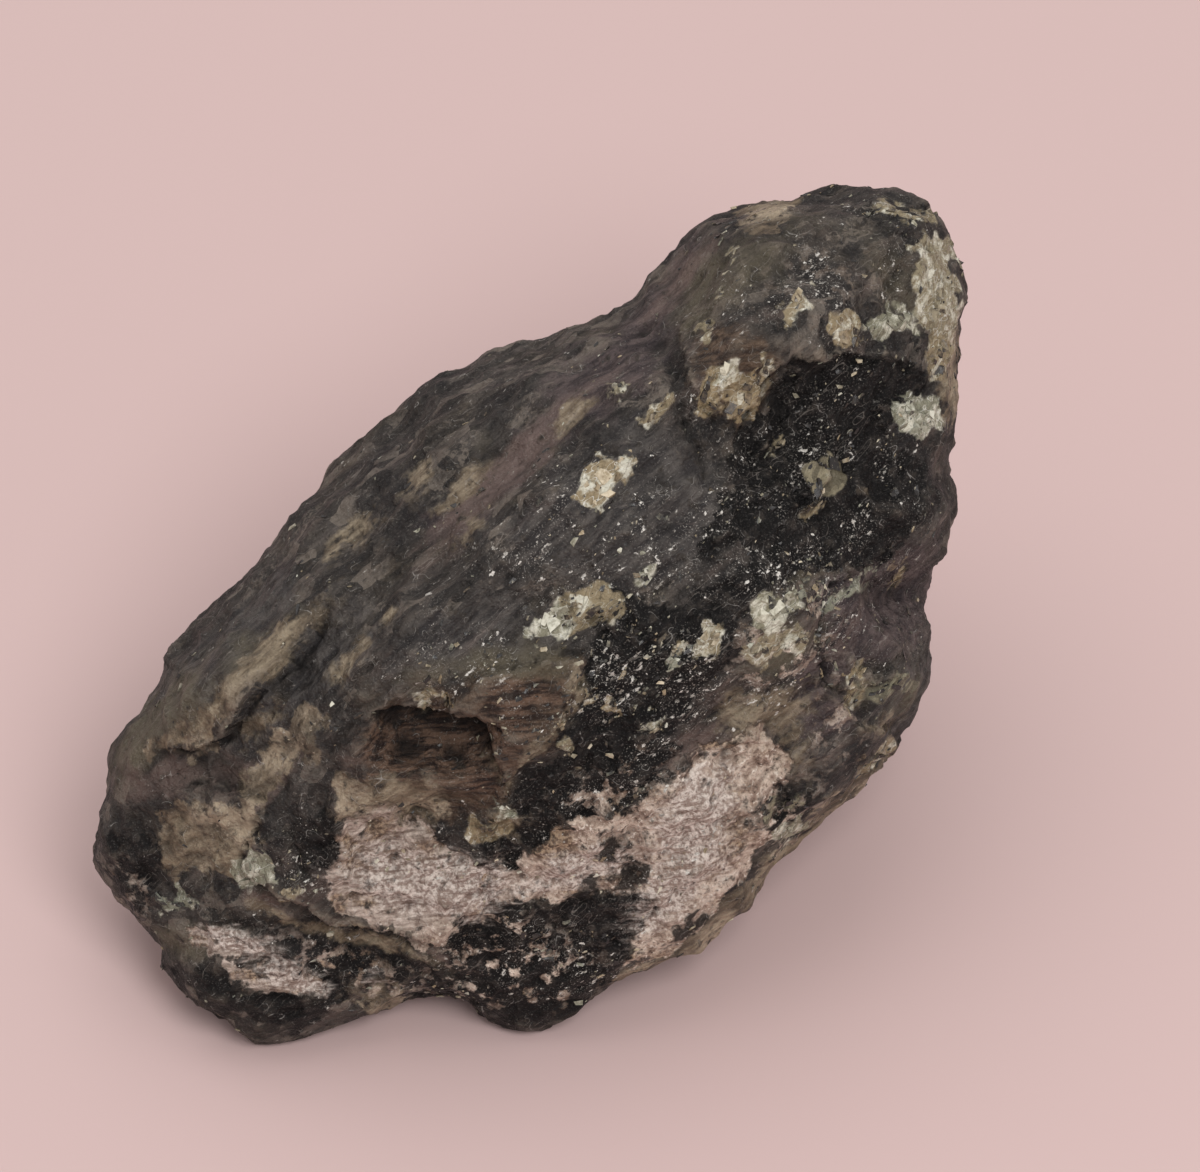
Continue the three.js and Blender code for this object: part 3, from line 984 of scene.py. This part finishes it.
def granular_cream(nodes):
    """Pale grains with dark gaps, hazy streaks in the scoops and sandy drifts."""
    cream = nodes.two_tone(nodes.coarse, 0.38, 0.6, paint(146, 125, 111), paint(222, 203, 186))
    cream = nodes.two_tone(nodes.grain, 0.44, 0.28, cream, paint(100, 84, 74))
    cream = nodes.two_tone(nodes.coarse, 0.4, 0.3, cream, paint(66, 52, 46))
    cream = nodes.two_tone(nodes.grain, 0.55, 0.68, cream, paint(236, 224, 210))
    hazy = nodes.two_tone(nodes.flow, 0.36, 0.64, paint(92, 76, 68), paint(208, 192, 180))
    cream = nodes.tinted(cream, nodes.step(nodes.field("streaky"), 0.1, 0.8), 0.8, hazy)
    sandy = nodes.two_tone(nodes.grain, 0.4, 0.62, paint(96, 78, 66), paint(172, 148, 124))
    drift = nodes.noise(4, detail=8, shift=51)
    return nodes.two_tone(drift, 0.48, 0.64, cream, sandy)


def rock_colours(nodes):
    """The minerals laid over each other, with soft smears of colour between and over them."""
    streak, coarse, flow = nodes.streak, nodes.coarse, nodes.flow
    grey = nodes.two_tone(streak, 0.35, 0.7, paint(48, 45, 45), paint(90, 85, 81))
    purple = nodes.two_tone(streak, 0.35, 0.7, paint(50, 43, 45), paint(96, 84, 82))
    brown = nodes.two_tone(flow, 0.35, 0.65, paint(46, 36, 31), paint(94, 77, 63))
    black = nodes.two_tone(coarse, 0.45, 0.7, paint(14, 12, 12), paint(46, 42, 40))
    umber = nodes.two_tone(flow, 0.38, 0.62, paint(38, 28, 25), paint(104, 82, 68))
    ochre = nodes.two_tone(streak, 0.4, 0.65, paint(112, 98, 80), paint(158, 144, 122))
    white = nodes.two_tone(nodes.grain, 0.38, 0.6, paint(150, 132, 122), paint(226, 214, 204))
    white = nodes.two_tone(flow, 0.5, 0.36, white, paint(140, 120, 110))
    cream = granular_cream(nodes)
    mottled = nodes.step(nodes.noise(1.5, detail=8, shift=41), 0.52, 0.61)
    mottled = nodes.times(mottled, nodes.step(nodes.field("mottled"), 0.05, 0.8))
    colour = charcoal_rock(nodes)
    for share, mineral in (
        (nodes.inside("grey", 3), grey),
        (nodes.inside("purple", 3), purple),
        (nodes.inside("brown", 2), brown),
        (nodes.smeared("olive", nodes.cloud, 0.7, ragged=2.0), paint(98, 90, 74)),
        (nodes.smeared("rosy", nodes.band, 0.6, ragged=2.0), paint(116, 98, 91)),
        (nodes.inside("tan", 0.8), tan_seam(nodes)),
        (nodes.inside("cream"), cream),
        (nodes.inside("black", 0.8), black),
        (nodes.smeared("umber", nodes.warmth, 0.9), umber),
        (nodes.smeared("ochre", coarse, 0.85, ragged=2.0), ochre),
        (nodes.smeared("white", flow, 0.9, ragged=1.4), white),
        # dark smears, partly dark rock and partly painted shade under the hollow's rim and the brow
        (nodes.smeared("dark_rock_and_shade", coarse, 0.95, ragged=3.5), black),
        (mottled, cream),
    ):
        colour = nodes.mix(share, colour, mineral)
    return colour


def with_specks(nodes, colour):
    """Adds clustered crumbs, finer dust, lint and fine scratches."""
    speckled = nodes.step(nodes.field("speckled"), 0.0, 0.9)
    clustered = nodes.step(nodes.noise(4.5, detail=6, shift=21), 0.4, 0.66)
    clustered = nodes.times(clustered, nodes.math("ADD", speckled, 0.15))
    crumbs = nodes.noise(0.5, stretch=1.5, detail=4, shift=3)
    crumbs = nodes.step(nodes.weighted(clustered, 0.07, crumbs), 0.66, 0.7)
    crumbs = nodes.times(crumbs, nodes.step(clustered, 0.0, 0.3))
    dust = nodes.step(nodes.noise(0.16, detail=1, shift=13), 0.6, 0.68)
    dust = nodes.times(dust, nodes.math("ADD", 0.15, clustered))
    tone = nodes.two_tone(nodes.coarse, 0.35, 0.6, paint(116, 108, 98), paint(226, 222, 214))
    colour = nodes.mix(crumbs, colour, tone)
    colour = nodes.tinted(colour, dust, 0.5, paint(170, 164, 156))
    lint = nodes.times(nodes.hairs(2.2, 0.006, shift=31), nodes.step(nodes.coarse, 0.5, 0.6))
    colour = nodes.tinted(colour, lint, 0.45, paint(190, 186, 180))
    scratches = nodes.hairs(1.2, 0.01, stretch=6, turn=44, shift=37)
    scratches = nodes.times(scratches, nodes.step(nodes.band, 0.5, 0.6))
    return nodes.tinted(colour, scratches, 0.4, paint(150, 142, 134))


def crystal_colour(nodes):
    """Feldspar from tan to pale green, in facets that catch the light or stay dull, with dark
    flaws and bright ridges."""
    bright = nodes.field("crystal_bright")
    hue = nodes.mix(nodes.field("crystal_green"), paint(156, 138, 108), paint(140, 140, 122))
    pale = nodes.two_tone(nodes.coarse, 0.4, 0.62, hue, paint(222, 218, 200))
    gloom = nodes.mix(0.55, hue, paint(30, 28, 24))
    facet = nodes.facets(0.7, stretch=2, turn=60)
    lit = nodes.weighted(nodes.coarse, 1.6, nodes.math("SUBTRACT", bright, 1.3))
    lit = nodes.math("ADD", facet, lit)
    crystal = nodes.two_tone(lit, -0.2, 0.35, gloom, hue)
    crystal = nodes.two_tone(lit, 0.4, 0.9, crystal, pale)
    flaws = nodes.hairs(0.9, 0.03, stretch=3, turn=65, shift=61)
    crystal = nodes.tinted(crystal, flaws, 0.6, gloom)
    ridges = nodes.hairs(0.8, 0.015, stretch=2, turn=40, shift=67)
    return nodes.tinted(crystal, ridges, bright, paint(236, 234, 224))


def with_painted_shade_and_wear(nodes, colour):
    """Painted shade in the hollows and grooves, a painted highlight on the swells, and paler edges
    that are partly worn and partly a painted highlight.
    """
    swell = nodes.field("swell")
    # painted shade: darker in the broad hollows
    colour = nodes.two_tone(swell, -0.3, -2.6, colour, paint(20, 16, 15))
    # painted highlight: paler on the swells, in streaks
    swell_highlight = nodes.times(nodes.step(swell, 0.5, 3.0), nodes.step(nodes.streak, 0.3, 0.7))
    colour = nodes.tinted(colour, swell_highlight, 0.5, paint(132, 120, 108))
    edge = nodes.field("edge")
    # paler edges: partly wear on crushed edges, partly a painted highlight
    edge_wear_and_highlight = nodes.times(nodes.step(edge, 0.15, 0.7), nodes.step(nodes.coarse, 0.35, 0.6))
    colour = nodes.tinted(colour, edge_wear_and_highlight, 0.6, paint(136, 124, 110))
    # painted shade: darker in the fine grooves, less so in the cream
    groove_shade_share = nodes.weighted(nodes.inside("cream"), -0.4, 0.7)
    return nodes.tinted(colour, nodes.step(edge, -0.05, -0.5), groove_shade_share, paint(14, 12, 12))


def stone_relief(nodes):
    """Height of the fine grain, with streaks everywhere but in the cream."""
    streakiness = nodes.weighted(nodes.inside("cream"), -1.5, 1.5)
    relief = nodes.weighted(nodes.streak, streakiness, nodes.grain)
    return nodes.weighted(nodes.coarse, 2, relief)


def make_material():
    material, nodes = new_material("labradorite", StoneNodes)
    depth = nodes.weighted(nodes.wander, 0.3, nodes.field("crystal"))
    is_crystal = nodes.times(nodes.step(depth, -0.4, 0.6), 0.92)
    colour = with_specks(nodes, rock_colours(nodes))
    colour = nodes.mix(is_crystal, colour, crystal_colour(nodes))
    # painted shade in hollows and grooves, painted highlights on swells and edges, and edge wear
    colour = with_painted_shade_and_wear(nodes, colour)
    roughness = nodes.ramp(nodes.coarse, 0.3, 0.7, 0.38, 0.7)
    roughness = nodes.mix(nodes.inside("cream"), roughness, (0.9, 0.9, 0.9, 1))
    roughness = nodes.mix(is_crystal, roughness, (0.25, 0.25, 0.25, 1))
    bump = nodes.bump(stone_relief(nodes), 1.0, 0.0004)
    nodes.shade(colour, roughness, bump)
    nodes.shader.inputs["Specular IOR Level"].default_value = 0.2
    return material


def make_chip_material():
    material, nodes = new_material("feldspar", Nodes)
    green = nodes.field("crystal_green")
    bright = nodes.field("crystal_bright")
    grain = nodes.noise(0.5, detail=5, shift=7)
    flaw = nodes.noise(0.25, stretch=5, turn=70, detail=3, shift=4)
    dull = nodes.mix(green, paint(60, 50, 40), paint(50, 52, 48))
    middle = nodes.mix(green, paint(146, 128, 100), paint(130, 130, 114))
    pale = nodes.mix(green, paint(214, 200, 172), paint(206, 206, 192))
    lit = nodes.weighted(nodes.field("facet_shade"), 0.35, bright)
    lit = nodes.math("ADD", lit, nodes.math("SUBTRACT", grain, 0.68))
    colour = nodes.two_tone(lit, 0.0, 0.45, paint(34, 31, 30), dull)
    colour = nodes.two_tone(lit, 0.2, 0.7, colour, middle)
    colour = nodes.two_tone(lit, 0.6, 1.1, colour, pale)
    colour = nodes.tinted(colour, nodes.step(flaw, 0.6, 0.7), 0.5, pale)
    roughness = nodes.ramp(grain, 0.3, 0.7, 0.15, 0.5)
    nodes.shade(colour, roughness, nodes.bump(grain, 0.6, 0.0002))
    return material


# ---- stage


def make_floor():
    side = HALF_WIDTH * 60
    mesh = bpy.data.meshes.new("floor")
    corners = [(-side, -side, 0), (side, -side, 0), (side, side, 0), (-side, side, 0)]
    mesh.from_pydata(corners, [], [(0, 1, 2, 3)])
    floor = add_object("floor", mesh)
    material, nodes = new_material("floor", Nodes)
    nodes.shader.inputs["Base Color"].default_value = paint(203, 177, 174)
    nodes.shader.inputs["Roughness"].default_value = 0.9
    mesh.materials.append(material)


def add_light(name, away, size, power):
    """A round lamp turned to the stone: its place and size in half widths, its power in watts."""
    light = bpy.data.lights.new(name, "AREA")
    light.shape = "DISK"
    light.size = size * HALF_WIDTH
    light.energy = power
    lamp = add_object(name, light)
    lamp.location = MIDDLE + Vector(away) * HALF_WIDTH
    lamp.rotation_euler = (MIDDLE - lamp.location).to_track_quat("-Z", "Y").to_euler()


def make_lights():
    add_light("window", (-3, 6, 18), 20, 1.8)
    add_light("fill", (5, -10, 16), 9, 2.5)
    world = bpy.data.worlds.new("room")
    bpy.context.scene.world = world
    world.use_nodes = True
    background = world.node_tree.nodes["Background"]
    background.inputs["Color"].default_value = (1, 0.96, 0.95, 1)
    background.inputs["Strength"].default_value = 0.6
    bpy.context.scene.view_settings.view_transform = "Standard"


def make_camera():
    """Looks straight down on the show face, a little right of the stone's middle."""
    distance = 0.9
    picture_width = 2.718 * HALF_WIDTH
    aim = MIDDLE + UNIT * (16.7 * ACROSS)
    lens = bpy.data.cameras.new("camera")
    lens.sensor_width = 36
    lens.lens = lens.sensor_width * distance / picture_width
    camera = add_object("camera", lens)
    camera.location = aim + distance * OUT_OF_FACE
    camera.rotation_euler = (math.pi / 2 - FACE_RISE, 0, 0)
    bpy.context.scene.camera = camera


make_camera()
make_lights()
make_floor()
stone = make_stone()
stone.data.materials.append(make_material())
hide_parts(STONE)
chips = make_chips(stone)
chips.data.materials.append(make_chip_material())
for piece in (stone, chips):
    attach(piece, BODY)
